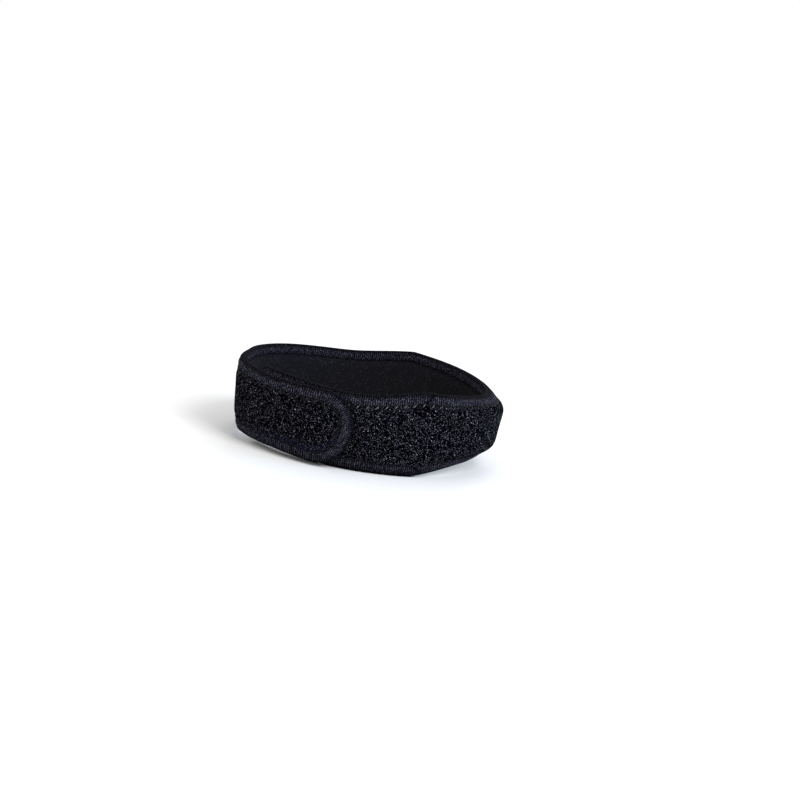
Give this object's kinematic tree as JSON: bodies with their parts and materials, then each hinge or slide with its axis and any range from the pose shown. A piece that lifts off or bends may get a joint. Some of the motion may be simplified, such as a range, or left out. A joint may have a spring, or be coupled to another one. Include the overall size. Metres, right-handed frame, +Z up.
{
  "type": "patella strap",
  "caption": "Padded foam band with a plush face and a taped edge, closed in a loop below the kneecap by a hook-and-loop tab.",
  "frame": {"origin": "middle of the strap's outline, on the surface that its lower edge stands on", "axes": "+X towards the front of the knee, where the padded section is; -Y towards the side where the tab laps over; +Z up the leg"},
  "size_m": [0.1376, 0.1176, 0.0431],
  "materials": {
    "plush_foam": "black brushed loop plush over foam",
    "binding_tape": "black ribbed stretch tape",
    "hook_tape": "black hook tape"
  },
  "bodies": {
    "root": {"foam_strap": "plush_foam", "edge_binding": "binding_tape", "hook_patch": "hook_tape"}
  },
  "joints": []
}
